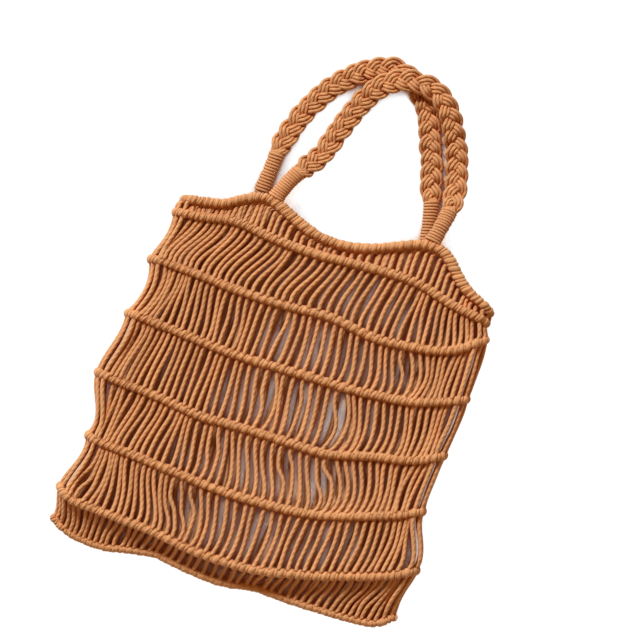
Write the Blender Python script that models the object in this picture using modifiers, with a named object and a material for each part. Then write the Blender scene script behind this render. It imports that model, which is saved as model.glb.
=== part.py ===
"""A knotted cord tote bag, lying flat on a surface with its two handles laid out above its mouth.

Rows of knots run round the bag in closed loops, a net of bare strands hangs between each row
and the next, and a thick knotted seam closes the bottom. X runs along the rows, Y from the base
towards the handles, and Z up from the surface. The part is centred over its origin, which lies
on the surface.
"""

import math

import bpy
from mathutils import Vector

# Driving sizes of the body, in metres.
BODY_WIDTH = 0.350
BODY_HEIGHT = 0.360
CORD = 0.0042
ROW_HEIGHT = 0.009
ROW_THICK = 0.009
HOLLOW = 0.014
BASE_HEIGHT = 0.008
BASE_THICK = 0.012

# Clearances between pieces that meet, in metres.
CLEARANCE = 0.0004
SEAT_CLEARANCE = 0.0005
LAP_CLEARANCE = 0.0006

# Driving sizes of the handles, in metres.
HANDLE_RISE = 0.165
BRAID_WIDTH = 0.0235
BRAID_THICK = 0.009
LOBE_PITCH = 0.014
LOBE_SWAY = 0.0016
WRAP_LENGTH = 0.040
WRAP_WIDTH = 0.0165
WRAP_THICK = 0.012
WRAP_TURNS = 10

# The net: strand groups with a gap between each and the next.
GAPS_PER_SIDE = 7
OPEN_SHARE = 0.40

# Shares of the named sizes that shape the net.
STRIP_SHARE = 0.10
GAP_END_SHARE = 0.62
GAP_MIDDLE_SHARE = 1.15
RIDGE_SHARE = 0.27
WRAP_VALLEY_SHARE = 0.90
BRAID_NECK_SHARE = 0.68

# Heights along the mouth, as shares of BODY_HEIGHT, at these shares of the flat panel's width.
RIM_STATIONS = (0, 0.07, 0.14, 0.22, 0.30, 0.40, 0.50, 0.60, 0.70, 0.78, 0.85, 0.92, 1)
RIM_HEIGHTS = (
    0.975, 0.987, 1.018, 1.050, 1.032, 1.003, 0.998, 1.018, 1.059, 1.083, 1.061, 1.005, 0.985,
)

# One line for each row of knots, from the mouth down to the base:
# name, left and right edge as shares of BODY_WIDTH from the middle line,
# height at the left fold and at the right fold, as shares of BODY_HEIGHT,
# and heights at even steps across the flat panel.
ROWS = (
    ("rim", -0.449, 0.514, 0.968, 0.974, RIM_HEIGHTS),
    ("row_1", -0.457, 0.509, 0.930, 0.935, (0.936, 0.961, 0.952, 0.961, 0.971, 0.963, 0.937)),
    ("row_2", -0.474, 0.526, 0.783, 0.884, (0.787, 0.787, 0.787, 0.796, 0.793, 0.803, 0.872)),
    ("row_3", -0.483, 0.534, 0.619, 0.712, (0.619, 0.618, 0.615, 0.623, 0.633, 0.648, 0.698)),
    ("row_4", -0.506, 0.526, 0.442, 0.542, (0.439, 0.434, 0.426, 0.432, 0.437, 0.479, 0.528)),
    ("row_5", -0.469, 0.530, 0.266, 0.376, (0.258, 0.254, 0.248, 0.251, 0.265, 0.301, 0.361)),
    ("row_6", -0.494, 0.563, 0.097, 0.219, (0.083, 0.081, 0.074, 0.069, 0.092, 0.138, 0.203)),
    ("base_seam", -0.483, 0.549, 0.007, 0.067, (0.006, -0.009, 0.009, 0.005, 0.023, 0.028, 0.066)),
)

# One line for each band of net, from the mouth down:
# name, how far its left and right sides pull in at mid height,
# and how far its strands' tops lie to the right of their feet, all as shares of BODY_WIDTH.
NETS = (
    ("net_1", 0.000, 0.000, 0.006),
    ("net_2", 0.028, 0.000, 0.030),
    ("net_3", 0.023, 0.012, -0.014),
    ("net_4", 0.020, 0.016, -0.006),
    ("net_5", 0.030, 0.006, -0.018),
    ("net_6", 0.034, 0.008, -0.026),
    ("net_7", 0.004, 0.008, 0.012),
)

# One line for each handle: name, and its left and right root as shares of the mouth's flat width.
# Then its route, with one line for each point:
# along: share of the way from the left root to the right root,
# rise: share of HANDLE_RISE above the line between the roots,
# over: 0 where it lies on the surface and 1 where it lies over the other handle,
# root: 1 where it lies at the height of its roots, 0 where it has come down from them.
HANDLES = (
    ("back", 0.197, 0.761, (
        (0.000, 0.000, 0, 1.0),
        (0.006, 0.121, 0, 1.0),
        (0.011, 0.248, 0, 1.0),
        (0.023, 0.350, 0, 0.5),
        (0.046, 0.470, 0, 0.0),
        (0.092, 0.588, 0, 0.0),
        (0.149, 0.705, 0, 0.0),
        (0.213, 0.791, 0, 0.0),
        (0.287, 0.865, 0, 0.0),
        (0.368, 0.920, 0, 0.0),
        (0.454, 0.956, 0, 0.0),
        (0.525, 0.958, 0, 0.0),
        (0.598, 0.922, 0, 0.0),
        (0.672, 0.850, 0, 0.0),
        (0.730, 0.775, 0, 0.0),
        (0.770, 0.700, 0, 0.0),
        (0.805, 0.625, 0, 0.0),
        (0.835, 0.550, 0, 0.0),
        (0.868, 0.465, 0, 0.0),
        (0.902, 0.361, 0, 0.2),
        (0.928, 0.287, 0, 0.8),
        (0.954, 0.195, 0, 1.0),
        (0.977, 0.100, 0, 1.0),
        (1.000, 0.000, 0, 1.0),
    )),
    ("front", 0.249, 0.777, (
        (0.000, 0.000, 0.0, 1.00),
        (0.037, 0.100, 0.0, 0.97),
        (0.086, 0.205, 0.0, 0.82),
        (0.143, 0.309, 0.0, 0.45),
        (0.185, 0.396, 0.0, 0.17),
        (0.215, 0.479, 0.0, 0.03),
        (0.241, 0.568, 0.0, 0.00),
        (0.270, 0.656, 0.2, 0.00),
        (0.309, 0.744, 0.55, 0.00),
        (0.362, 0.824, 0.85, 0.00),
        (0.436, 0.890, 1.0, 0.00),
        (0.528, 0.919, 1.0, 0.00),
        (0.620, 0.917, 1.0, 0.00),
        (0.712, 0.885, 1.0, 0.00),
        (0.785, 0.830, 1.0, 0.00),
        (0.847, 0.758, 0.85, 0.00),
        (0.900, 0.676, 0.45, 0.00),
        (0.948, 0.582, 0.1, 0.00),
        (0.995, 0.474, 0.0, 0.16),
        (1.020, 0.374, 0.0, 0.45),
        (1.027, 0.258, 0.0, 0.62),
        (1.020, 0.143, 0.0, 0.88),
        (1.000, 0.000, 0.0, 1.00),
    )),
)

# Worked out from the sizes above.
STACK = 2 * ROW_THICK + HOLLOW
MIDDLE_Z = STACK / 2
FOLD_RADIUS = (ROW_THICK + HOLLOW) / 2
BASE_WALL_OFFSET = (BASE_THICK - CORD) / 2 - CLEARANCE
FOLD_ANGLES = (45, 90, 135)
BODY_AXIS = Vector((0, 1, 0))
PART_NAME = "knotted_cord_tote"


def start_clean():
    """Removes what the scene holds and returns the model's collection and the guides' one."""
    for item in list(bpy.data.objects):
        bpy.data.objects.remove(item, do_unlink=True)
    made = []
    for name in (PART_NAME, "guides"):
        collection = bpy.data.collections.new(name)
        bpy.context.scene.collection.children.link(collection)
        made.append(collection)
    return made


def cord_material(name, colour, roughness):
    """A matt cotton material of one colour."""
    material = bpy.data.materials.new(name)
    material.use_nodes = True
    shader = material.node_tree.nodes["Principled BSDF"]
    shader.inputs["Base Color"].default_value = (*colour, 1.0)
    shader.inputs["Roughness"].default_value = roughness
    shader.inputs["Metallic"].default_value = 0.0
    return material


def smooth_value(stations, values, at):
    """The value at a place between stations, on a smooth curve through all of them."""
    slopes = []
    last = len(stations) - 1
    for i in range(len(stations)):
        before = max(i - 1, 0)
        after = min(i + 1, last)
        slopes.append((values[after] - values[before]) / (stations[after] - stations[before]))
    i = 0
    while i < last - 1 and at > stations[i + 1]:
        i += 1
    span = stations[i + 1] - stations[i]
    t = (at - stations[i]) / span
    start_part = (1 + 2 * t) * (1 - t) ** 2 * values[i] + t * (1 - t) ** 2 * span * slopes[i]
    end_part = t * t * (3 - 2 * t) * values[i + 1] - t * t * (1 - t) * span * slopes[i + 1]
    return start_part + end_part


def panel_stations():
    """Shares across a flat panel where a strand group starts or ends."""
    gap = OPEN_SHARE / GAPS_PER_SIDE
    group = (1 - OPEN_SHARE) / (GAPS_PER_SIDE + 1)
    stations = [0.0]
    for i in range(GAPS_PER_SIDE):
        start = group + i * (group + gap)
        stations += [start, start + gap]
    stations.append(1.0)
    return stations


def row_height(row, share):
    """Height of a row's middle line at a share of the flat panel's width, in metres."""
    heights = row[5]
    if heights is RIM_HEIGHTS:
        stations = RIM_STATIONS
    else:
        stations = [i / (len(heights) - 1) for i in range(len(heights))]
    return BODY_HEIGHT * smooth_value(stations, heights, share)


def panel_ends(row, fold_radius):
    """X of a row's flat panel at its left and right end."""
    inset = ROW_THICK / 2 + fold_radius
    return BODY_WIDTH * row[1] + inset, BODY_WIDTH * row[2] - inset


def loop_path(row, fold_radius, middle_z):
    """Points round the bag along a row, with each one's share across the panel.

    The front panel comes first, from left to right, then the right fold, the back panel and the
    left fold.
    """
    left, right = panel_ends(row, fold_radius)
    front = []
    for share in panel_stations():
        x = left + share * (right - left)
        front.append((Vector((x, row_height(row, share), middle_z + fold_radius)), share))
    back = []
    for point, share in reversed(front):
        back.append((Vector((point.x, point.y, middle_z - fold_radius)), share))
    folds = []
    for end, fold_share, share, side in ((right, row[4], 1.0, 1), (left, row[3], 0.0, -1)):
        start_y = row_height(row, share)
        fold = []
        for angle in FOLD_ANGLES:
            turn = math.radians(angle)
            x = end + side * fold_radius * math.sin(turn)
            y = start_y + (BODY_HEIGHT * fold_share - start_y) * math.sin(turn)
            z = middle_z + side * fold_radius * math.cos(turn)
            fold.append((Vector((x, y, z)), share))
        folds.append(fold)
    return front + folds[0] + back + folds[1]


def up_directions(points, closed=True):
    """For each point of a path, the direction across the path that lies nearest to +Y."""
    result = []
    last = len(points) - 1
    for i, point in enumerate(points):
        along = Vector((0, 0, 0))
        if closed or i > 0:
            along += (point - points[i - 1]).normalized()
        if closed or i < last:
            along += (points[(i + 1) % len(points)] - point).normalized()
        along.normalize()
        result.append((BODY_AXIS - BODY_AXIS.dot(along) * along).normalized())
    return result


def add_profile(name, outline, guides):
    """A closed flat outline that other curves use as their section."""
    curve = bpy.data.curves.new(name, "CURVE")
    curve.dimensions = "2D"
    spline = curve.splines.new("POLY")
    spline.points.add(len(outline) - 1)
    for point, (x, y) in zip(spline.points, reversed(outline)):
        point.co = (x, y, 0, 1)
    spline.use_cyclic_u = True
    item = bpy.data.objects.new(name, curve)
    item.hide_render = True
    item.display_type = "WIRE"
    guides.objects.link(item)
    return item


def ridge_outline(thick, height, sides):
    """Outline of a knotted ridge, flat towards the bag's inside and outside."""
    flat = RIDGE_SHARE * height
    if sides == 6:
        return (
            (thick / 2, -flat),
            (thick / 2, flat),
            (0, height / 2),
            (-thick / 2, flat),
            (-thick / 2, -flat),
            (0, -height / 2),
        )
    shoulder = RIDGE_SHARE * thick
    return (
        (thick / 2, -flat),
        (thick / 2, flat),
        (shoulder, height / 2),
        (-shoulder, height / 2),
        (-thick / 2, flat),
        (-thick / 2, -flat),
        (-shoulder, -height / 2),
        (shoulder, -height / 2),
    )


def oval_outline(width, thick):
    """Outline of an oval of eight sides, flat on its top and underside."""
    outline = []
    reach = math.cos(math.pi / 8)
    for i in range(8):
        turn = math.pi / 8 + i * math.pi / 4
        outline.append((math.cos(turn) / reach * width / 2, math.sin(turn) / reach * thick / 2))
    return tuple(outline)


def add_swept(name, points, sizes, profile, material, collection, closed=False, upright=False):
    """A curve through the points that carries a section.

    An upright one is turned so that its section's height stays nearest to the bag's +Y.
    """
    curve = bpy.data.curves.new(name, "CURVE")
    curve.dimensions = "3D"
    curve.twist_mode = "Z_UP"
    curve.bevel_mode = "OBJECT"
    curve.bevel_object = profile
    curve.use_fill_caps = not closed
    spline = curve.splines.new("POLY")
    spline.points.add(len(points) - 1)
    for control, place, size in zip(spline.points, points, sizes):
        if upright:
            control.co = (place.x, -place.z, place.y, 1)
        else:
            control.co = (place.x, place.y, place.z, 1)
        control.radius = size
    spline.use_cyclic_u = closed
    spline.use_smooth = True
    curve.materials.append(material)
    item = bpy.data.objects.new(name, curve)
    if upright:
        item.rotation_euler = (-math.pi / 2, 0, 0)
    collection.objects.link(item)
    return item


def add_row(row, profile, material, collection):
    """A row of knots: one closed loop round the bag."""
    points = [point for point, _ in loop_path(row, FOLD_RADIUS, MIDDLE_Z)]
    sizes = [1.0] * len(points)
    add_swept(row[0], points, sizes, profile, material, collection, closed=True, upright=True)


def base_path(row):
    """Points along the base seam's middle, from its left end to its right end."""
    left, right = panel_ends(row, BASE_WALL_OFFSET)
    z = BASE_THICK / 2
    points = [Vector((left - BASE_WALL_OFFSET, BODY_HEIGHT * row[3], z))]
    for share in panel_stations():
        points.append(Vector((left + share * (right - left), row_height(row, share), z)))
    points.append(Vector((right + BASE_WALL_OFFSET, BODY_HEIGHT * row[4], z)))
    return points


def add_base(row, profile, material, collection):
    """The seam that closes the bottom: a bar across both panels."""
    points = base_path(row)
    add_swept(row[0], points, [1.0] * len(points), profile, material, collection, upright=True)


def net_levels():
    """Shares of a band's height at its edges, its gaps' ends and its middle, from the top."""
    return 0.0, STRIP_SHARE, 0.5, 1 - STRIP_SHARE, 1.0


def row_edge(row, sign):
    """The line round a row where a band of net meets it. Sign is -1 for the row's lower edge."""
    points = [point for point, _ in loop_path(row, FOLD_RADIUS, MIDDLE_Z)]
    reach = ROW_HEIGHT / 2 + CLEARANCE
    return [point + sign * reach * up for point, up in zip(points, up_directions(points))]


def base_edge(row):
    """The line round the base seam's upper edge where the lowest band of net meets it."""
    points = base_path(row)
    reach = BASE_HEIGHT / 2 + CLEARANCE
    raised = [point + reach * up for point, up in zip(points, up_directions(points, False))]
    offset = Vector((0, 0, BASE_WALL_OFFSET))
    front = [point + offset for point in raised[1:-1]]
    back = [point - offset for point in reversed(raised[1:-1])]
    folds = []
    for inner, outer, side in ((raised[-2], raised[-1], 1), (raised[1], raised[0], -1)):
        fold = []
        for angle in FOLD_ANGLES:
            turn = math.radians(angle)
            fold.append(inner.lerp(outer, math.sin(turn)) + side * math.cos(turn) * offset)
        folds.append(fold)
    return front + folds[0] + back + folds[1]


def add_net(net, upper, lower, material, collection):
    """A band of net: an open wall round the bag with its gaps left out, given a cord's thickness."""
    name, left_waist, right_waist, lean = net
    top = row_edge(upper, -1)
    bottom = base_edge(lower) if lower is ROWS[-1] else row_edge(lower, 1)
    shares = [share for _, share in loop_path(upper, FOLD_RADIUS, MIDDLE_Z)]
    per_panel = len(panel_stations())
    folds = len(FOLD_ANGLES)
    count = len(top)
    gap_width = BODY_WIDTH * OPEN_SHARE / GAPS_PER_SIDE
    verts = []
    for level in net_levels():
        drop = min(max((level - STRIP_SHARE) / (1 - 2 * STRIP_SHARE), 0.0), 1.0)
        bulge = math.sin(math.pi * drop)
        sway = (0.5 - level) * lean * BODY_WIDTH if 0 < level < 1 else 0.0
        slot = {0.5: GAP_MIDDLE_SHARE}.get(level, GAP_END_SHARE) if 0 < level < 1 else 1.0
        for i in range(count):
            point = top[i].lerp(bottom[i], drop)
            point.y = top[i].y + level * (bottom[i].y - top[i].y)
            share = shares[i]
            waist = left_waist * (1 - share) ** 2 - right_waist * share ** 2
            point.x += BODY_WIDTH * waist * bulge + sway * math.sin(math.pi * share)
            order = i if i < per_panel else count - folds - 1 - i
            if 0 < order < per_panel - 1:
                outward = -1 if order % 2 else 1
                point.x += outward * (slot - 1) * gap_width / 2
            verts.append(point)
    faces = []
    for level in range(len(net_levels()) - 1):
        for i in range(count):
            order = i if i < per_panel - 1 else count - folds - 2 - i
            in_gap = 0 <= order < per_panel - 1 and order % 2 == 1
            if in_gap and level in (1, 2):
                continue
            after = (i + 1) % count
            low = (level + 1) * count
            high = level * count
            faces.append((high + i, low + i, low + after, high + after))
    mesh = bpy.data.meshes.new(name)
    mesh.from_pydata(verts, [], faces)
    mesh.materials.append(material)
    mesh.shade_smooth()
    item = bpy.data.objects.new(name, mesh)
    collection.objects.link(item)
    shell = item.modifiers.new("cord_thickness", "SOLIDIFY")
    shell.thickness = CORD
    shell.offset = 0
    shell.use_even_offset = True


def smooth_route(points, steps):
    """Points on a smooth curve through the given ones."""
    result = []
    last = len(points) - 1
    for i in range(last):
        before = points[max(i - 1, 0)]
        after = points[min(i + 2, last)]
        start_slope = (points[i + 1] - before) / 2
        end_slope = (after - points[i]) / 2
        for step in range(steps):
            t = step / steps
            place = (1 + 2 * t) * (1 - t) ** 2 * points[i]
            place += t * (1 - t) ** 2 * start_slope
            place += t * t * (3 - 2 * t) * points[i + 1]
            place -= t * t * (1 - t) * end_slope
            result.append(place)
    result.append(points[last])
    return result


def distances(route):
    """The distance along a route at each of its points."""
    result = [0.0]
    for before, after in zip(route, route[1:]):
        result.append(result[-1] + (after - before).length)
    return result


def point_at(route, lengths, at):
    """The point at a distance along a route."""
    i = 0
    while i < len(route) - 2 and at > lengths[i + 1]:
        i += 1
    return route[i].lerp(route[i + 1], (at - lengths[i]) / (lengths[i + 1] - lengths[i]))


def mouth_top():
    """The mouth's upper edge across a flat panel, as points in X and Y."""
    row = ROWS[0]
    count = len(panel_stations())
    points = [point for point, _ in loop_path(row, FOLD_RADIUS, MIDDLE_Z)]
    ups = up_directions(points)
    edge = []
    for point, up in zip(points[:count], ups[:count]):
        raised = point + ROW_HEIGHT / 2 * up
        edge.append(Vector((raised.x, raised.y)))
    return edge


def clear_of_mouth(root, direction):
    """How far from its root a wrap of full width has to start to sit on the mouth's edge."""
    ahead = Vector((direction.x, direction.y)).normalized()
    across = Vector((-ahead.y, ahead.x))
    furthest = 0.0
    edge = mouth_top()
    steps = 20
    for before, after in zip(edge, edge[1:]):
        for step in range(steps + 1):
            offset = before.lerp(after, step / steps) - Vector((root.x, root.y))
            if abs(offset.dot(across)) < WRAP_WIDTH / 2 + CLEARANCE:
                furthest = max(furthest, offset.dot(ahead))
    return furthest + SEAT_CLEARANCE


def handle_route(handle):
    """A handle's middle line, from the mouth's middle line at one root to that at the other."""
    name, left_share, right_share, table = handle
    left, right = panel_ends(ROWS[0], FOLD_RADIUS)
    roots = []
    for share in (left_share, right_share):
        roots.append(Vector((left + share * (right - left), row_height(ROWS[0], share), 0)))
    floor_z = BRAID_THICK / 2
    root_z = WRAP_THICK / 2 if name == "back" else STACK - WRAP_THICK / 2
    points = []
    for along, rise, over, at_root in table:
        point = roots[0].lerp(roots[1], along)
        point.y += rise * HANDLE_RISE
        lying_z = floor_z + over * (BRAID_THICK + LAP_CLEARANCE)
        point.z = lying_z + at_root * (root_z - lying_z)
        points.append(point)
    return smooth_route(points, 8)


def add_wrap(name, route, lengths, start, end, profile, material, collection):
    """The cord wound round a handle's root, with a ridge for each turn."""
    stations = 2 * WRAP_TURNS
    points = []
    sizes = []
    for i in range(stations + 1):
        points.append(point_at(route, lengths, start + (end - start) * i / stations))
        sizes.append(1.0 if i % 2 else WRAP_VALLEY_SHARE)
    add_swept(name, points, sizes, profile, material, collection)


def add_braid(name, route, lengths, start, end, profile, material, collection):
    """The braid between a handle's two wraps, with lobes that alternate from side to side."""
    neck = CORD / 2
    points = [point_at(route, lengths, start), point_at(route, lengths, start + neck)]
    lobes = max(2, round((end - start) / (LOBE_PITCH / 2)))
    for i in range(1, lobes):
        at = start + (end - start) * i / lobes
        ahead = point_at(route, lengths, at + CORD) - point_at(route, lengths, at - CORD)
        across = Vector((-ahead.y, ahead.x, 0)).normalized()
        sway = LOBE_SWAY if i % 2 else -LOBE_SWAY
        points.append(point_at(route, lengths, at) + sway * across)
    points += [point_at(route, lengths, end - neck), point_at(route, lengths, end)]
    sizes = [BRAID_NECK_SHARE] * 2 + [1.0] * (lobes - 1) + [BRAID_NECK_SHARE] * 2
    add_swept(name, points, sizes, profile, material, collection)


def add_handle(handle, profiles, materials, collection):
    """A handle: its braid and the wrap at each of its roots."""
    name = handle[0]
    route = handle_route(handle)
    lengths = distances(route)
    total = lengths[-1]
    left_start = clear_of_mouth(route[0], route[4] - route[0])
    right_start = total - clear_of_mouth(route[-1], route[-5] - route[-1])
    left_end = left_start + WRAP_LENGTH
    right_end = right_start - WRAP_LENGTH
    wraps = (("left", left_start, left_end), ("right", right_end, right_start))
    for side, start, end in wraps:
        wrap_name = f"wrap_{name}_{side}"
        add_wrap(wrap_name, route, lengths, start, end, profiles["wrap"], materials["wrap"], collection)
    start = left_end + SEAT_CLEARANCE
    end = right_end - SEAT_CLEARANCE
    braid_name = f"handle_{name}_braid"
    add_braid(braid_name, route, lengths, start, end, profiles["braid"], materials["braid"], collection)


def centre_over_origin(collection):
    """Moves the whole part so that the middle of its box is over the origin."""
    bpy.context.view_layer.update()
    graph = bpy.context.evaluated_depsgraph_get()
    low = Vector((math.inf, math.inf, math.inf))
    high = -low
    for item in collection.objects:
        evaluated = item.evaluated_get(graph)
        mesh = evaluated.to_mesh()
        for vertex in mesh.vertices:
            place = evaluated.matrix_world @ vertex.co
            low = Vector(map(min, low, place))
            high = Vector(map(max, high, place))
        evaluated.to_mesh_clear()
    shift = Vector(((low.x + high.x) / 2, (low.y + high.y) / 2, low.z))
    for item in collection.objects:
        item.location = item.location - shift


def main():
    model, guides = start_clean()
    materials = {
        "row": cord_material("knotted_row_cotton", (0.55, 0.27, 0.09), 0.9),
        "net": cord_material("net_cotton", (0.60, 0.31, 0.11), 0.9),
        "wrap": cord_material("wrap_cotton", (0.57, 0.29, 0.10), 0.9),
        "braid": cord_material("braid_cotton", (0.60, 0.31, 0.11), 0.9),
    }
    profiles = {
        "row": add_profile("row_section", ridge_outline(ROW_THICK, ROW_HEIGHT, 6), guides),
        "base": add_profile("base_section", ridge_outline(BASE_THICK, BASE_HEIGHT, 8), guides),
        "wrap": add_profile("wrap_section", oval_outline(WRAP_WIDTH, WRAP_THICK), guides),
        "braid": add_profile("braid_section", oval_outline(BRAID_WIDTH, BRAID_THICK), guides),
    }
    for row in ROWS[:-1]:
        add_row(row, profiles["row"], materials["row"], model)
    add_base(ROWS[-1], profiles["base"], materials["row"], model)
    for net, upper, lower in zip(NETS, ROWS, ROWS[1:]):
        add_net(net, upper, lower, materials["net"], model)
    for handle in HANDLES:
        add_handle(handle, profiles, materials, model)
    centre_over_origin(model)


main()
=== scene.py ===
"""A knotted cotton cord tote bag lying flat, rebuilt cord by cord over its CAD frame."""

import math

import bpy
import numpy as np
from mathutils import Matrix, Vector


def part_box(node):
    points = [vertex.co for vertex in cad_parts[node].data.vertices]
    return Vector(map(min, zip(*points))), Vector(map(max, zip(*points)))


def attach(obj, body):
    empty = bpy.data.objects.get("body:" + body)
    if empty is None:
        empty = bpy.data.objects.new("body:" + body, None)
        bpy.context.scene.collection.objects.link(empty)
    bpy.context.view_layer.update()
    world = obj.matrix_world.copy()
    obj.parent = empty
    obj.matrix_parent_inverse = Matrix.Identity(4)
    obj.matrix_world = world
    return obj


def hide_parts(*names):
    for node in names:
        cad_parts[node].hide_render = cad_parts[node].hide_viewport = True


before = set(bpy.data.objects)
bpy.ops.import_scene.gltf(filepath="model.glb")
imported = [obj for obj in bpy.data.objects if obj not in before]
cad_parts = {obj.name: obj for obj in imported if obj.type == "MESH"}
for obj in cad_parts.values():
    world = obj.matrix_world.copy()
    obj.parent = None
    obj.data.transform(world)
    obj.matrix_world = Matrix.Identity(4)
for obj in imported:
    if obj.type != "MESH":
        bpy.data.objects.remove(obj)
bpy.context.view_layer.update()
rng = np.random.default_rng(41)

# All tables below are in millimetres in the bag's own frame:
# u runs along the rows, v from the base towards the handles.
ROW_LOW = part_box("row_4")[0]
RIM_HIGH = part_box("rim")[1]
ROW_LEFT_U = -177.1
RIM_TOP_V = 204.05
SHIFT = np.array((
    ROW_LOW[0] * 1000 - ROW_LEFT_U,
    RIM_HIGH[1] * 1000 - RIM_TOP_V,
    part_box("base_seam")[0][2] * 1000,
))

# Sizes of the cords, in millimetres.
CORD_RADIUS = 2.2
RIDGE_HALF = 5.0
BASE_HALF = 4.5
FRONT_Z = 27.5
BACK_Z = 4.5
MIDDLE_Z = 16.0
FOLD_RADIUS = 11.5
BASE_Z = 6.0
BASE_LIFT = 1.5
STRANDS_PER_PANEL = 45
STRANDS_PER_FOLD = 5

# The hitches of a row: their slant, thickness and the rings that each one is made of.
HITCH_TILT = 0.42
HITCH_SLANT_REACH = 3.2
HITCH_THICKNESS = 2.0
HITCH_RINGS = 12

# The strands of a net on the front: how far a foot stands forward of its row, a top lies behind
# its row and a middle sags.
FOOT_FORWARD = 2.0
TOP_BEHIND = 1.5
MIDDLE_SAG = 3.0

# The braids and the wraps.
BRAID_LOBE = 14.2
BRAID_SWAY = 6.4
BRAID_LIFT = 2.3
BRAID_CORD_RADIUS = 1.95
BRAID_CORD_SPACING = 3.5
WRAP_TURNS = 13
WRAP_STEPS = 24
WRAP_CORD_RADIUS = 1.62
WRAP_HALF_WIDTH = 6.7
WRAP_HALF_THICK = 4.4

# Upper edge of each row of knots on the front, as (u, v), from its left fold to its right fold.
ROW_EDGES = {
    "rim": (
        (-157, 160), (-150, 164), (-140, 166), (-130, 168), (-120, 170), (-110, 173), (-100, 181),
        (-90, 187), (-80, 192), (-70, 193), (-60, 190), (-50, 186), (-40, 182), (-30, 178.5),
        (-20, 175.5), (-10, 174), (0, 173.5), (10, 173.5), (20, 175), (30, 177), (40, 180),
        (50, 184.5), (60, 189.5), (70, 194), (80, 199), (90, 203), (100, 204), (110, 203),
        (118, 198), (125, 191), (132, 184), (140, 177), (150, 171.5), (160, 168), (170, 164.5),
        (177, 160), (180, 155),
    ),
    "row_1": (
        (-160, 147.5), (-150, 149.5), (-140, 150.5), (-130, 152), (-120, 154.5), (-110, 157.5),
        (-100, 159.5), (-90, 160), (-80, 159.5), (-70, 158), (-60, 157), (-40, 156), (-20, 156),
        (0, 157), (20, 159.5), (40, 161.5), (60, 163.5), (80, 164.5), (100, 163.5), (110, 161.5),
        (120, 159), (130, 156.5), (140, 154.5), (150, 153.5), (160, 152.5), (172, 151.5),
        (180, 148),
    ),
    "row_2": (
        (-167, 94.5), (-160, 96.5), (-150, 97.5), (-120, 97.5), (-100, 97), (-80, 96), (-60, 96),
        (-40, 96.5), (-20, 98), (0, 100), (20, 102), (30, 102), (40, 101.5), (50, 100),
        (60, 98.5), (75, 97.5), (90, 98.5), (110, 101.5), (130, 105), (140, 107.5), (150, 111),
        (160, 116.5), (170, 125), (178, 133), (185, 138.5),
    ),
    "row_3": (
        (-170, 36), (-160, 38), (-140, 37.5), (-120, 37), (-100, 36), (-80, 35), (-60, 34.5),
        (-40, 35), (-20, 36), (0, 37.5), (20, 39), (40, 40), (60, 40.5), (80, 42.5), (100, 45),
        (120, 48), (130, 50), (140, 53), (150, 57), (160, 61), (170, 65), (180, 70.5),
        (187, 75.5),
    ),
    "row_4": (
        (-178, -27.5), (-170, -29), (-160, -29.5), (-140, -30), (-120, -30.5), (-100, -31.5),
        (-80, -33.5), (-60, -35), (-50, -34.5), (-40, -33), (-20, -31.5), (0, -30.5),
        (20, -29.5), (40, -29), (60, -28.5), (70, -27), (80, -24.5), (90, -21), (100, -18),
        (110, -15), (120, -12), (130, -10), (140, -8), (150, -5), (160, -1), (170, 4.5),
        (180, 11), (185, 15.5),
    ),
    "row_5": (
        (-165, -88.5), (-160, -91.5), (-150, -93), (-120, -93.5), (-100, -94.5), (-80, -95),
        (-60, -96), (-40, -97), (-20, -97.5), (0, -97), (20, -95.5), (40, -94), (60, -91.5),
        (80, -87.5), (90, -85), (100, -82), (110, -78.5), (120, -75), (140, -67), (150, -63),
        (160, -59), (170, -53), (180, -48), (184, -45.5),
    ),
    "row_6": (
        (-174, -143), (-170, -147), (-165, -152), (-160, -155.5), (-150, -157), (-120, -157.5),
        (-80, -158), (-60, -159), (-50, -160), (-40, -161.5), (-20, -163), (0, -163),
        (20, -162), (40, -160), (60, -156), (80, -150), (100, -145), (120, -138), (140, -131),
        (160, -123.5), (170, -119), (180, -114), (190, -107.5), (198, -102),
    ),
    "base_seam": (
        (-169, -176), (-165, -180.5), (-155, -186.5), (-140, -190.5), (-120, -191.5),
        (-105, -190.5), (-95, -187.5), (-85, -185), (-75, -183), (-65, -181), (-52, -179),
        (-42, -181.5), (-30, -182.5), (-15, -183.5), (0, -184.5), (15, -183.5), (30, -181.5),
        (40, -178.5), (50, -177), (60, -177), (80, -177.5), (100, -176.5), (120, -175.5),
        (140, -174.5), (160, -172.5), (172, -170.5), (180, -165.5), (186, -159.5),
        (190, -154), (192, -150),
    ),
}
ROWS = tuple(ROW_EDGES)

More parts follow.
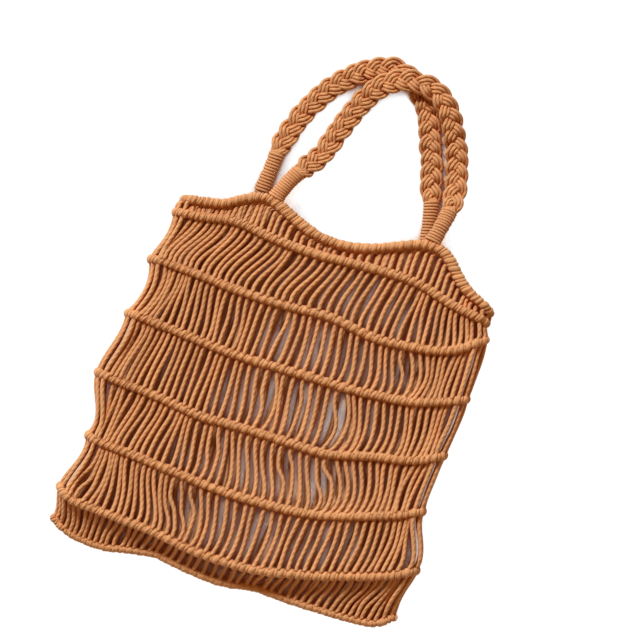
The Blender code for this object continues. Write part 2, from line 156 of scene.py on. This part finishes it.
# How the strands of each band of net hang between two rows, as (u, lean, bow):
# lean is how far a strand's top lies to the right of its foot, and bow is how far its middle
# is pushed to the right.
NET_SHAPES = {
    "net_1": ((-160, 2, 0), (-145, 6, 0), (-100, 7, 0), (-80, 8, 0), (-60, 10, 0), (-30, 9, 0),
              (-10, 6, 0), (40, 5, 0), (70, 6, 0), (95, 9, 0), (125, 9, 0), (145, 6, 0),
              (180, 0, 0)),
    "net_2": ((-158, 5, 4), (-150, 10, 2), (-143, 15, 1), (-130, 19, 0), (-60, 20, 0),
              (-35, 15, 0), (-5, 18, 0), (20, 11, -1), (50, 8, -2), (80, 8, -1), (100, 3, -1),
              (115, -4, -1), (150, -8, 0), (184, -4, 0)),
    "net_3": ((-168, 3, 8), (-160, 8, 6), (-145, 5, 7), (-132, 7, 4), (-124, 1, 1),
              (-115, -4, 0), (-80, -6, 0), (-65, -3, 1), (-45, 0, 0), (-28, 2, 0), (-10, -1, 3),
              (15, -3, 1), (40, -6, 2), (70, -6, 4), (95, -10, 3), (115, -9, 5), (130, -4, 5),
              (150, -2, -1), (175, 2, 0), (187, -3, 0)),
    "net_4": ((-170, 4, 2), (-160, 8, 2), (-130, 9, 1), (-118, 4, 0), (-105, 1, 0),
              (-60, -1, 0), (-45, -3, 0), (-25, -8, 2), (-5, -6, 5), (10, -8, 0), (35, -6, 3),
              (55, -5, 3), (68, -7, 8), (90, -7, 5), (115, -6, 5), (140, -5, 3), (158, -2, 2),
              (170, 0, 0), (186, 2, 2)),
    "net_5": ((-170, -12, 3), (-158, -4, 3), (-150, 2, 2), (-142, 3, 0), (-130, 11, 1),
              (-110, 9, 0), (-85, 4, 0), (-75, 0, 0), (-65, -5, 0), (-45, -5, 3), (-30, -9, 2),
              (-10, -14, 0), (10, -18, 0), (60, -17, 1), (75, -17, 6), (90, -13, 8),
              (110, -9, 7), (125, -6, 4), (140, -4, 1), (155, 1, -2), (170, 3, -1), (185, 2, 0)),
    "net_6": ((-166, 14, 3), (-150, 12, 3), (-142, 7, 5), (-135, 2, 4), (-127, 0, 1),
              (-120, -7, 2), (-105, -11, 1), (-85, -14, 0), (-70, -17, 0), (-50, -18, 0),
              (-36, -11, 4), (-15, -7, 3), (8, -5, 4), (20, -2, 2), (45, 1, 4), (65, 2, 0),
              (90, 3, 1), (110, 1, 2), (130, 1, 4), (150, 2, 3), (163, 0, 3), (172, -5, 2),
              (190, -14, 2)),
    "net_7": ((-173, 0, 1), (-155, -6, 0), (-140, -5, 1), (-125, 0, 0), (-100, 3, 1),
              (-60, 3, 1), (0, 2, 1), (40, 3, 1), (70, 6, 1), (110, 8, 2), (140, 11, 3),
              (165, 14, 2), (180, 8, 0), (195, 3, 0)),
}

# How much taller the mouth's ridge is on the slopes of its two peaks, as (u, extra half height).
RIM_SWELL = ((-160, 0), (-75, 0), (-60, 1.0), (-35, 1.2), (-5, 0), (60, 0), (100, 0.4), (125, 1.2),
             (145, 0.8), (165, 0))

# Places where neighbouring strands part: band, u, v, half width, and reach up and down.
NET_GAPS = (
    ("net_3", -20, 78, 3.5, 16),
    ("net_3", 112, 78, 3.5, 16),
    ("net_4", -5, 0, 4.5, 22),
    ("net_4", 23, 8, 3.0, 18),
    ("net_4", 64, 4, 4.5, 22),
    ("net_5", -37, -65, 3.0, 18),
    ("net_5", 36, -58, 4.0, 20),
    ("net_5", 77, -58, 4.5, 20),
    ("net_6", -146, -142, 4.0, 14),
    ("net_6", -56, -125, 3.0, 20),
    ("net_6", -40, -130, 4.0, 20),
)

# Spacing of the strands across a panel, relative to each other, as (share, spacing).
STRAND_SPACING = (
    (0.0, 4.6), (0.05, 5.6), (0.15, 6.5), (0.3, 7.0), (0.4, 8.4), (0.5, 8.8), (0.65, 8.6),
    (0.75, 7.6), (0.86, 7.3), (0.94, 6.0), (1.0, 4.8),
)

# Middle line of each handle, as (u, v, z), from its left root to its right root,
# and how far its two wraps reach from the mouth.
HANDLES = {
    "back": (
        (-82.5, 188, 6), (-82, 200, 6), (-80.5, 224, 6), (-80, 240, 5.4), (-78, 250, 5),
        (-74, 270, 4.7), (-66, 290, 4.7), (-56, 310, 4.7), (-45, 325, 4.7), (-32, 338, 4.7),
        (-18, 348, 4.7), (-3, 355, 4.7), (8, 356, 4.7), (22, 350, 4.7), (35, 340, 4.7),
        (45, 330, 4.7), (52, 318, 4.7), (58, 305, 4.7), (63, 292, 4.7), (69, 280, 4.7),
        (75, 262, 4.7), (79, 250, 5), (83, 240, 5.6), (87, 225, 6), (92, 203, 6), (93.5, 196, 6),
    ),
    "front": (
        (-67, 184, 26), (-64, 196, 26), (-58, 212, 25), (-52, 224, 22), (-47, 232, 17),
        (-40, 244, 11), (-35, 258, 7), (-31, 272, 5.2), (-27, 287, 5), (-22, 302, 6.4),
        (-16, 317, 9), (-7, 331, 12), (5, 342, 14), (20, 348.5, 14.4), (35, 350, 14.4),
        (50, 346, 14.4), (62, 338, 14.2), (72, 327, 12.6), (80, 314, 10), (88, 300, 7.4),
        (95, 282, 5.6), (100, 266, 6.6), (102, 255, 10), (102.5, 245, 14), (101.5, 232, 19),
        (99.5, 218, 24), (97, 205, 26), (95, 194, 26),
    ),
}
HANDLE_WRAPS = {"back": (5.0, 49.0, 48.0, 5.0), "front": (6.0, 44.0, 47.0, 6.0)}


def to_part(points):
    """Points in the bag's own frame, in millimetres, moved to the frame, in metres."""
    return (np.asarray(points, dtype=float) + SHIFT) / 1000


def unit(vectors):
    """The vectors at length one."""
    return vectors / np.maximum(np.linalg.norm(vectors, axis=-1, keepdims=True), 1e-9)


def smoothstep(values):
    """Zero to one with level ends."""
    held = np.clip(values, 0, 1)
    return held * held * (3 - 2 * held)


class Bundle:
    """Cords of one kind, gathered into one mesh."""

    def __init__(self, sides):
        self.sides = sides
        self.places = []
        self.faces = []
        self.maps = []
        self.tones = []
        self.count = 0

    def add(self, paths, across, through, lift, closed=False, tone=None):
        """Adds one cord for each path.

        across and through are its half sizes, and lift the direction nearest to which the
        second of them lies.
        """
        paths = np.asarray(paths, dtype=float)
        cords, rings, _ = paths.shape
        if closed:
            ahead = np.roll(paths, -1, axis=1) - np.roll(paths, 1, axis=1)
        else:
            ahead = np.gradient(paths, axis=1)
        ahead = unit(ahead)
        side = unit(np.cross(ahead, np.broadcast_to(lift, paths.shape)))
        up = np.cross(side, ahead)
        turn = np.arange(self.sides) * 2 * math.pi / self.sides
        across = np.broadcast_to(across, (cords, rings))[:, :, None, None]
        through = np.broadcast_to(through, (cords, rings))[:, :, None, None]
        places = paths[:, :, None, :] + across * np.cos(turn)[:, None] * side[:, :, None, :]
        places = places + through * np.sin(turn)[:, None] * up[:, :, None, :]
        order = np.arange(cords * rings * self.sides).reshape(cords, rings, self.sides)
        order = order + self.count
        if closed:
            order_next = np.roll(order, -1, axis=1)
            here = order
            steps = np.linalg.norm(np.roll(paths, -1, axis=1) - paths, axis=2)
        else:
            order_next = order[:, 1:]
            here = order[:, :-1]
            steps = np.linalg.norm(np.diff(paths, axis=1), axis=2)
        beyond = np.roll(here, -1, axis=2)
        beyond_next = np.roll(order_next, -1, axis=2)
        quads = np.stack((here, order_next, beyond_next, beyond), axis=-1)
        ends = np.cumsum(steps, axis=1)
        starts = ends - steps
        round_here = np.broadcast_to(np.arange(self.sides) / self.sides, here.shape)
        round_next = round_here + 1 / self.sides
        shift = rng.uniform(0, 50, (cords, 1, 1))
        low = np.broadcast_to(starts[:, :, None] + shift, here.shape)
        high = np.broadcast_to(ends[:, :, None] + shift, here.shape)
        corners = (
            np.stack((round_here, low), axis=-1),
            np.stack((round_here, high), axis=-1),
            np.stack((round_next, high), axis=-1),
            np.stack((round_next, low), axis=-1),
        )
        self.faces.append(quads.reshape(-1, 4))
        self.maps.append(np.stack(corners, axis=-2).reshape(-1, 4, 2))
        if not closed:
            caps = np.concatenate((order[:, 0], order[:, -1, ::-1]))
            self.faces.append(caps)
            self.maps.append(np.zeros((len(caps), self.sides, 2)))
        if tone is None:
            tone = rng.normal(0, 1, cords)
        self.tones.append(np.repeat(np.clip(tone, -2, 2), rings * self.sides))
        self.places.append(places.reshape(-1, 3))
        self.count += places.size // 3

    def build(self, name, material):
        """The finished object."""
        mesh = bpy.data.meshes.new(name)
        mesh.vertices.add(self.count)
        mesh.vertices.foreach_set("co", to_part(np.concatenate(self.places)).ravel())
        sizes = np.concatenate([np.full(len(part), part.shape[1]) for part in self.faces])
        corners = np.concatenate([part.ravel() for part in self.faces])
        starts = np.concatenate(((0,), np.cumsum(sizes)[:-1]))
        mesh.loops.add(len(corners))
        mesh.loops.foreach_set("vertex_index", corners.astype(np.int32))
        mesh.polygons.add(len(sizes))
        mesh.polygons.foreach_set("loop_start", starts.astype(np.int32))
        layer = mesh.uv_layers.new(name="cord")
        flat = np.concatenate([part.ravel() for part in self.maps])
        layer.uv.foreach_set("vector", flat.astype(np.float32))
        tone = mesh.attributes.new("tone", "FLOAT", "POINT")
        tone.data.foreach_set("value", np.concatenate(self.tones).astype(np.float32))
        mesh.update(calc_edges=True)
        mesh.validate()
        mesh.shade_smooth()
        mesh.materials.append(material)
        item = bpy.data.objects.new(name, mesh)
        bpy.context.scene.collection.objects.link(item)
        return item


def row_height(row, u):
    """Height of a row's middle line at u, smoothed over a few millimetres."""
    stations, edges = np.array(ROW_EDGES[row], dtype=float).T
    total = np.zeros_like(u, dtype=float)
    for offset in (-6, -3, 0, 3, 6):
        total += np.interp(u + offset, stations, edges)
    return total / 5 - (BASE_HALF if row == "base_seam" else RIDGE_HALF)


def row_ends(row):
    """u of a row's flat part at its left and right end."""
    edges = ROW_EDGES[row]
    inset = RIDGE_HALF + FOLD_RADIUS
    return edges[0][0] + inset, edges[-1][0] - inset


def row_points(row, q):
    """Points on a row's middle line.

    q runs from 0 to 1 over the front, then to 2 round the right fold, to 3 over the back and to
    4 round the left fold.
    """
    q = np.mod(q, 4)
    left, right = row_ends(row)
    part = np.floor(q).astype(int)
    rest = q - part
    width = right - left
    turn = rest * math.pi
    u = np.select(
        (part == 0, part == 1, part == 2),
        (left + rest * width, right + FOLD_RADIUS * np.sin(turn), right - rest * width),
        left - FOLD_RADIUS * np.sin(turn),
    )
    if row == "base_seam":
        z = np.select(
            (part == 0, part == 1, part == 2),
            (
                np.full_like(q, BASE_Z + BASE_LIFT),
                BASE_Z + BASE_LIFT * np.cos(turn),
                np.full_like(q, BASE_Z - BASE_LIFT),
            ),
            BASE_Z - BASE_LIFT * np.cos(turn),
        )
    else:
        z = np.select(
            (part == 0, part == 1, part == 2),
            (
                np.full_like(q, FRONT_Z),
                MIDDLE_Z + FOLD_RADIUS * np.cos(turn),
                np.full_like(q, BACK_Z),
            ),
            MIDDLE_Z - FOLD_RADIUS * np.cos(turn),
        )
    return np.stack((u, row_height(row, u), z), axis=-1)


def strand_shares():
    """Shares across a panel where its strands hang."""
    stations, spacing = np.array(STRAND_SPACING).T
    fine = np.linspace(0, 1, 401)
    density = 1 / np.interp(fine, stations, spacing)
    total = np.concatenate(((0,), np.cumsum((density[1:] + density[:-1]) / 2)))
    wanted = (np.arange(STRANDS_PER_PANEL) + 0.5) / STRANDS_PER_PANEL * total[-1]
    return np.interp(wanted, total, fine)


def strand_places():
    """Where the strands hang round a row, as values of q."""
    shares = strand_shares()
    fold = (np.arange(STRANDS_PER_FOLD) + 0.5) / STRANDS_PER_FOLD
    return np.concatenate((shares, 1 + fold, 2 + 1 - shares[::-1], 3 + fold))


STRAND_Q = strand_places()


def add_hitches(bundle, row, half_height, half_thick):
    """Half hitches side by side over a filler cord: a wide one and a narrow one for each strand."""
    before = np.mod(STRAND_Q - np.roll(STRAND_Q, 1), 4)
    after = np.mod(np.roll(STRAND_Q, -1) - STRAND_Q, 4)
    strands = row_points(row, STRAND_Q)
    pitch = np.linalg.norm(np.roll(strands, -1, axis=0) - np.roll(strands, 1, axis=0), axis=1) / 2
    body_up = np.array((0.0, 1.0, 0.0))
    turn = np.arange(HITCH_RINGS) * 2 * math.pi / HITCH_RINGS
    cos = np.cos(turn)[None, :, None]
    sin = np.sin(turn)[None, :, None]
    count = len(STRAND_Q)
    for places, share, sink in (
        (STRAND_Q - before * 0.12, 0.39, 0.0),
        (STRAND_Q + after * 0.38, 0.27, 0.45),
    ):
        centres = row_points(row, places)
        ahead = unit(row_points(row, places + 0.004) - row_points(row, places - 0.004))
        if row == "base_seam":
            centres[:, 2] = BASE_Z
        half_width = np.clip(pitch * share * rng.uniform(0.9, 1.1, count), 1.0, 3.6)
        up = unit(body_up - (ahead @ body_up)[:, None] * ahead)
        out = np.cross(ahead, up)
        thickness = HITCH_THICKNESS + rng.normal(0, 0.08, count)
        reach_up = half_height - thickness - sink + rng.normal(0, 0.2, count)
        if row == "rim":
            stations, swell = np.array(RIM_SWELL).T
            reach_up = reach_up + np.interp(centres[:, 0], stations, swell)
        reach_out = half_thick - thickness - sink + rng.normal(0, 0.15, count)
        tilt = HITCH_TILT + rng.normal(0, 0.08, count)
        shift = rng.normal(0, 0.2, (count, 1, 1))
        paths = centres[:, None, :] + reach_up[:, None, None] * cos * up[:, None, :]
        paths = paths + reach_out[:, None, None] * sin * out[:, None, :]
        slant = tilt[:, None, None] * HITCH_SLANT_REACH * cos + shift
        paths = paths + slant * ahead[:, None, :]
        bundle.add(
            paths, thickness[:, None], half_width[:, None], ahead[:, None, :], closed=True
        )


def add_core(bundle, row, radius_up, radius_out):
    """The filler cord inside a row."""
    path = row_points(row, np.linspace(0, 4, 401)[:-1])
    if row == "base_seam":
        path[:, 2] = BASE_Z
    bundle.add(path[None], radius_out, radius_up, (0.0, 1.0, 0.0), closed=True, tone=[-1.0])


def net_paths(net, upper, lower):
    """Paths of one band's strands, from the row above to the row below."""
    count = len(STRAND_Q)
    top = row_points(upper, STRAND_Q)
    foot = row_points(lower, STRAND_Q)
    stations, leans, bows = np.array(NET_SHAPES[net], dtype=float).T
    rings = 16 if net == "net_1" else 22
    t = np.linspace(0, 1, rings)[None, :]
    middle = (top[:, 0] + foot[:, 0]) / 2
    lean = np.interp(middle, stations, leans)
    bow = np.interp(middle, stations, bows)
    front = STRAND_Q < 1
    back = (STRAND_Q >= 2) & (STRAND_Q < 3)
    lean = np.where(front, lean, np.where(back, lean * 0.7, top[:, 0] - foot[:, 0]))
    lean = lean + np.where(front | back, rng.normal(0, 1.1, count), 0)
    height = (top[:, 1] - foot[:, 1])[:, None]
    if net == "net_1":
        slide = np.sin(np.clip(t / 0.5, 0, 1) * math.pi / 2)
    elif net == "net_7":
        slide = smoothstep(t * 1.3)
    else:
        middle_part = np.clip((t - 0.10) / 0.76, 0, 1)
        slide = 0.75 * smoothstep(middle_part) + 0.25 * middle_part
    u = middle[:, None] + lean[:, None] * (0.5 - slide)
    u = u + (bow[:, None] + rng.normal(0, 0.7, (count, 1))) * np.sin(math.pi * t)
    foot_z = np.where(front, FOOT_FORWARD, np.where(back, -1.2, 0.0))[:, None]
    top_z = np.where(front, -TOP_BEHIND, 0.0)[:, None]
    for waves in (2, 3):
        size = rng.normal(0, 0.55 / waves, (count, 1))
        u = u + size * np.sin(waves * math.pi * t) * np.minimum(height / 60, 1)
    v = top[:, 1:2] - height * t
    if net == "net_1":
        arch = np.clip(t / 0.5, 0, 1) * math.pi / 2
        drop = np.clip(height * 0.35, 0, 7)
        level = top[:, 1:2] - 2.5
        curved = level - drop * (1 - np.cos(arch))
        straight = level - drop - (level - drop - foot[:, 1:2]) * np.clip(t / 0.5 - 1, 0, 1)
        v = np.where(t < 0.5, curved, straight)
    v = v + 1.5 * smoothstep(t * 4 - 3)
    z = top[:, 2:] + top_z + (foot[:, 2:] + foot_z - top[:, 2:] - top_z) * t
    sag = np.where(front, -MIDDLE_SAG, np.where(back, -0.8, 0.0))[:, None]
    z = z + (sag + rng.normal(0, 0.5, (count, 1))) * np.sin(math.pi * t)
    for band, gap_u, gap_v, half_width, reach in NET_GAPS:
        if band != net:
            continue
        beside = np.clip((u - gap_u) / 3, -1, 1) * np.exp(-np.abs(u - gap_u) / 14)
        level = np.exp(-((v - gap_v) / reach) ** 2)
        u = u + np.where(front[:, None], half_width * beside * level, 0)
    z = np.maximum(z, CORD_RADIUS)
    return np.stack((u, v, z), axis=-1)


def smooth_route(points, spacing):
    """Points at even distances on a smooth curve through the given ones."""
    points = np.asarray(points, dtype=float)
    slopes = np.gradient(points, axis=0)
    pieces = []
    t = np.linspace(0, 1, 12, endpoint=False)[:, None]
    for i in range(len(points) - 1):
        place = (1 + 2 * t) * (1 - t) ** 2 * points[i] + t * (1 - t) ** 2 * slopes[i]
        place = place + t * t * (3 - 2 * t) * points[i + 1] - t * t * (1 - t) * slopes[i + 1]
        pieces.append(place)
    fine = np.concatenate(pieces + [points[-1:]])
    lengths = np.concatenate(((0,), np.cumsum(np.linalg.norm(np.diff(fine, axis=0), axis=1))))
    wanted = np.arange(0, lengths[-1], spacing)
    even = np.stack([np.interp(wanted, lengths, fine[:, axis]) for axis in range(3)], axis=-1)
    return even, wanted


def route_frame(route):
    """Directions along, across and up at each point of a route."""
    ahead = unit(np.gradient(route, axis=0))
    across = unit(np.cross(ahead, (0.0, 0.0, 1.0)))
    up = np.cross(across, ahead)
    return ahead, across, up


def build_braid(name, material):
    """A three-strand braid between a handle's wraps, each strand of three cords."""
    route, lengths = smooth_route(HANDLES[name], 1.7)
    _, left_end, right_end, _ = HANDLE_WRAPS[name]
    total = lengths[-1]
    keep = (lengths > left_end - 6) & (lengths < total - right_end + 6)
    ahead, across, up = route_frame(route)
    route, ahead, across, up = route[keep], ahead[keep], across[keep], up[keep]
    length = lengths[keep] - lengths[keep][0]
    room = length[-1]
    lobes = round(room / BRAID_LOBE)
    period = 3 * room / lobes
    near_end = np.minimum(length, room - length)
    opening = 0.5 + 0.5 * smoothstep(near_end / 14)
    bundle = Bundle(10)
    for k in range(3):
        phase = 2 * math.pi * (length / period + k / 3) + 0.3 * np.sin(length / 21 + k)
        sway = BRAID_SWAY * opening
        x = sway * np.sin(phase)
        slope = np.gradient(x, length)
        z = BRAID_LIFT * np.sin(2 * phase)
        size = np.sqrt(1 + slope ** 2)
        for d in (-BRAID_CORD_SPACING, 0.0, BRAID_CORD_SPACING):
            spread = d * opening * (1 + 0.06 * np.sin(length / 9 + 2.1 * k + d))
            path = route + (x + spread / size)[:, None] * across
            path = path - (spread * slope / size)[:, None] * ahead
            crown = 0.55 * (1 - (d / BRAID_CORD_SPACING) ** 2) * np.sign(np.sin(2 * phase))
            lift = z + crown * smoothstep(np.abs(np.sin(2 * phase)) * 2)
            path = path + lift[:, None] * up
            radius = BRAID_CORD_RADIUS + 0.08 * rng.normal()
            bundle.add(path[None], radius, radius, (0.0, 0.0, 1.0))
    return bundle.build(f"braid_{name}", material)


def build_wrap(name, side, material):
    """The cord wound round a handle's root."""
    route, lengths = smooth_route(HANDLES[name], 0.5)
    near_left, far_left, far_right, near_right = HANDLE_WRAPS[name]
    total = lengths[-1]
    if side == "left":
        start, end = near_left, far_left
    else:
        start, end = total - far_right, total - near_right
    ahead, across, up = route_frame(route)
    bundle = Bundle(8)
    t = np.linspace(0, 1, WRAP_TURNS * WRAP_STEPS + 1)
    at = start + 1.4 + (end - start - 2.8) * t
    turn = 2 * math.pi * WRAP_TURNS * t
    flare = 1 + 0.05 * np.cos(2 * math.pi * t)
    looseness = np.repeat(rng.normal(0, 1, WRAP_TURNS + 1), WRAP_STEPS)[:len(t)]
    loose = 1 + 0.025 * looseness
    at = at + 0.9 * np.cos(turn + 0.5)
    middle = np.stack([np.interp(at, lengths, route[:, i]) for i in range(3)], axis=-1)
    side_way = np.stack([np.interp(at, lengths, across[:, i]) for i in range(3)], axis=-1)
    up_way = np.stack([np.interp(at, lengths, up[:, i]) for i in range(3)], axis=-1)
    ahead_way = np.stack([np.interp(at, lengths, ahead[:, i]) for i in range(3)], axis=-1)
    path = middle + (WRAP_HALF_WIDTH * flare * loose * np.cos(turn))[:, None] * side_way
    path = path + (WRAP_HALF_THICK * loose * np.sin(turn))[:, None] * up_way
    bundle.add(path[None], WRAP_CORD_RADIUS, WRAP_CORD_RADIUS, ahead_way[None])
    core = (lengths > start - 3) & (lengths < end + 2)
    core_path = route[core][::6]
    bundle.add(core_path[None], 6.2, 3.9, (0.0, 0.0, 1.0), tone=[-1.0])
    return bundle.build(f"wrap_{name}_{side}_cords", material)


def math_node(nodes, links, operation, first, second):
    """A maths node with its two inputs, each a socket or a number."""
    node = nodes.new("ShaderNodeMath")
    node.operation = operation
    for socket, value in zip(node.inputs, (first, second)):
        if isinstance(value, (int, float)):
            socket.default_value = value
        else:
            links.new(value, socket)
    return node.outputs[0]


def painted_crevice_shade(nodes, links, open_colour, shade_colour, reach):
    """Painted shade: the colour turns deep and dark where nearby cords close a place in."""
    shade_mask = nodes.new("ShaderNodeAmbientOcclusion")
    shade_mask.samples = 6
    shade_mask.inputs["Distance"].default_value = reach
    mix = nodes.new("ShaderNodeMix")
    mix.data_type = "RGBA"
    mix.inputs["A"].default_value = (*shade_colour, 1.0)
    mix.inputs["B"].default_value = (*open_colour, 1.0)
    links.new(shade_mask.outputs["AO"], mix.inputs["Factor"])
    return mix.outputs["Result"]


def cotton(name, colour, twist):
    """Dyed cotton cord: plies that wind round it, fine fibres, uneven dye, and painted shade that
    darkens the colour where cords close in.
    """
    material = bpy.data.materials.new(name)
    material.use_nodes = True
    nodes = material.node_tree.nodes
    links = material.node_tree.links
    shader = nodes["Principled BSDF"]
    shader.inputs["Roughness"].default_value = 0.85
    shader.inputs["Sheen Weight"].default_value = 0.15
    shader.inputs["Sheen Roughness"].default_value = 0.5
    shader.inputs["Specular IOR Level"].default_value = 0.25
    place = nodes.new("ShaderNodeUVMap")
    place.uv_map = "cord"
    split = nodes.new("ShaderNodeSeparateXYZ")
    links.new(place.outputs["UV"], split.inputs[0])
    around = split.outputs["X"]
    along = split.outputs["Y"]
    lead = math_node(nodes, links, "MULTIPLY", around, 3.0)
    climb = math_node(nodes, links, "MULTIPLY", along, 1 / 6.5)
    wind = math_node(nodes, links, "ADD", lead, climb)
    angle = math_node(nodes, links, "MULTIPLY", wind, 2 * math.pi)
    plies = math_node(nodes, links, "SINE", angle, 0.0)
    fibre_place = nodes.new("ShaderNodeCombineXYZ")
    fibre_around = math_node(nodes, links, "MULTIPLY", around, 14.0)
    fibre_shift = math_node(nodes, links, "MULTIPLY", along, 0.9)
    fibre_way = math_node(nodes, links, "ADD", fibre_around, fibre_shift)
    links.new(fibre_way, fibre_place.inputs["X"])
    links.new(math_node(nodes, links, "MULTIPLY", along, 0.25), fibre_place.inputs["Y"])
    fibres = nodes.new("ShaderNodeTexNoise")
    fibres.inputs["Scale"].default_value = 1.6
    fibres.inputs["Detail"].default_value = 3.0
    links.new(fibre_place.outputs[0], fibres.inputs["Vector"])
    ply_height = math_node(nodes, links, "MULTIPLY", plies, twist)
    height = math_node(nodes, links, "ADD", ply_height, fibres.outputs[0])
    bump = nodes.new("ShaderNodeBump")
    bump.inputs["Strength"].default_value = 0.55
    bump.inputs["Distance"].default_value = 0.0010
    links.new(height, bump.inputs["Height"])
    links.new(bump.outputs["Normal"], shader.inputs["Normal"])
    tone = nodes.new("ShaderNodeAttribute")
    tone.attribute_name = "tone"
    spot = nodes.new("ShaderNodeTexCoord")
    dye = nodes.new("ShaderNodeTexNoise")
    dye.inputs["Scale"].default_value = 38.0
    dye.inputs["Detail"].default_value = 2.0
    links.new(spot.outputs["Object"], dye.inputs["Vector"])
    tone_part = math_node(nodes, links, "MULTIPLY", tone.outputs["Fac"], 0.035)
    dye_part = math_node(nodes, links, "MULTIPLY", dye.outputs[0], 0.22)
    fibre_part = math_node(nodes, links, "MULTIPLY", fibres.outputs[0], 0.16)
    bright = math_node(nodes, links, "ADD", tone_part, dye_part)
    bright = math_node(nodes, links, "ADD", bright, fibre_part)
    bright = math_node(nodes, links, "ADD", bright, 0.81)
    # painted shade: the base colour turns deep brown in the hollows between cords
    base = painted_crevice_shade(nodes, links, colour, CREVICE_SHADE_COLOUR, 0.012)
    scaled = nodes.new("ShaderNodeVectorMath")
    scaled.operation = "SCALE"
    links.new(base, scaled.inputs[0])
    links.new(bright, scaled.inputs["Scale"])
    links.new(scaled.outputs[0], shader.inputs["Base Color"])
    return material


def glowing_paper_with_painted_shade(name):
    """A white ground that glows evenly, with painted brown shade where the bag covers it."""
    material = bpy.data.materials.new(name)
    material.use_nodes = True
    nodes = material.node_tree.nodes
    links = material.node_tree.links
    painted_shade_floor = nodes["Principled BSDF"]
    # painted shade: brown floor colour where the bag's cords cover the ground
    painted_shade_floor.inputs["Base Color"].default_value = (0.62, 0.34, 0.15, 1.0)
    painted_shade_floor.inputs["Roughness"].default_value = 0.9
    lit = nodes.new("ShaderNodeEmission")
    lit.inputs["Strength"].default_value = 1.05
    shade_mask = nodes.new("ShaderNodeAmbientOcclusion")
    shade_mask.samples = 8
    shade_mask.inputs["Distance"].default_value = 0.05
    # the painted shade takes over from the white glow where the cords close the ground in
    share = nodes.new("ShaderNodeMapRange")
    share.inputs["From Min"].default_value = 0.30
    share.inputs["From Max"].default_value = 0.50
    links.new(shade_mask.outputs["AO"], share.inputs["Value"])
    mix = nodes.new("ShaderNodeMixShader")
    links.new(share.outputs["Result"], mix.inputs["Fac"])
    links.new(painted_shade_floor.outputs["BSDF"], mix.inputs[1])
    links.new(lit.outputs["Emission"], mix.inputs[2])
    links.new(mix.outputs["Shader"], nodes["Material Output"].inputs["Surface"])
    return material


def add_piece(item, node):
    """Puts a finished piece in the place of its CAD node."""
    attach(item, "root")
    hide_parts(node)


CORD_COLOUR = (0.60, 0.32, 0.15)
# Colour of the painted shade in the hollows between the cords.
CREVICE_SHADE_COLOUR = (0.56, 0.13, 0.005)
row_cotton = cotton("knotted_row_cotton", CORD_COLOUR, 0.10)
net_cotton = cotton("net_cotton", CORD_COLOUR, 0.35)
braid_cotton = cotton("braid_cotton", CORD_COLOUR, 0.3)
wrap_cotton = cotton("wrap_cotton", CORD_COLOUR, 0.10)

for row in ROWS:
    ridge = Bundle(8)
    half_height, half_thick = (BASE_HALF, 6.0) if row == "base_seam" else (RIDGE_HALF, 4.5)
    add_core(ridge, row, half_height - 1.3, half_thick - 1.3)
    add_hitches(ridge, row, half_height, half_thick)
    add_piece(ridge.build(f"{row}_knots", row_cotton), row)

for net, upper, lower in zip(NET_SHAPES, ROWS, ROWS[1:]):
    strands = Bundle(8)
    paths = net_paths(net, upper, lower)
    radius = CORD_RADIUS * (1 + rng.normal(0, 0.04, (len(paths), 1)))
    strands.add(paths, radius, radius, (0.0, 0.0, 1.0))
    add_piece(strands.build(f"{net}_strands", net_cotton), net)

for handle in HANDLES:
    braid = build_braid(handle, braid_cotton)
    add_piece(braid, f"handle_{handle}_braid")
    for side in ("left", "right"):
        wrap = build_wrap(handle, side, wrap_cotton)
        add_piece(wrap, f"wrap_{handle}_{side}")

floor_mesh = bpy.data.meshes.new("floor")
floor_mesh.from_pydata([(-4, -4, 0), (4, -4, 0), (4, 4, 0), (-4, 4, 0)], [], [(0, 1, 2, 3)])
floor_mesh.materials.append(glowing_paper_with_painted_shade("white_ground_painted_shade"))
floor = bpy.data.objects.new("floor", floor_mesh)
bpy.context.scene.collection.objects.link(floor)

world = bpy.data.worlds.new("warm_surroundings")
world.use_nodes = True
world.node_tree.nodes["Background"].inputs[0].default_value = (1.0, 0.63, 0.28, 1.0)
world.node_tree.nodes["Background"].inputs[1].default_value = 0.48
bpy.context.scene.world = world
bpy.context.scene.view_settings.view_transform = "Standard"
bpy.context.scene.view_settings.gamma = 0.85

VIEW_TURN = math.radians(20)
VIEW_RISE = math.radians(87)
picture_up = Vector((-math.sin(VIEW_TURN), math.cos(VIEW_TURN), 0))
picture_left = Vector((-math.cos(VIEW_TURN), -math.sin(VIEW_TURN), 0))

key = bpy.data.lights.new("key", "SUN")
key.energy = 5.0
key.color = (0.72, 0.86, 1.0)
key.angle = math.radians(10)
key_item = bpy.data.objects.new("key", key)
key_from = 0.78 * picture_up + 0.38 * picture_left + Vector((0, 0, 0.66))
key_item.rotation_euler = (-key_from).to_track_quat("-Z", "Y").to_euler()
bpy.context.scene.collection.objects.link(key_item)

camera = bpy.data.cameras.new("camera")
camera.lens = 180
camera.sensor_width = 36
camera_item = bpy.data.objects.new("camera", camera)
target = Vector((0.0077, 0.0080, 0.016))
look = picture_up * math.cos(VIEW_RISE) - Vector((0, 0, math.sin(VIEW_RISE)))
camera_item.location = target - 3.2 * look
camera_item.rotation_euler = look.to_track_quat("-Z", "Y").to_euler()
bpy.context.scene.collection.objects.link(camera_item)
bpy.context.scene.camera = camera_item
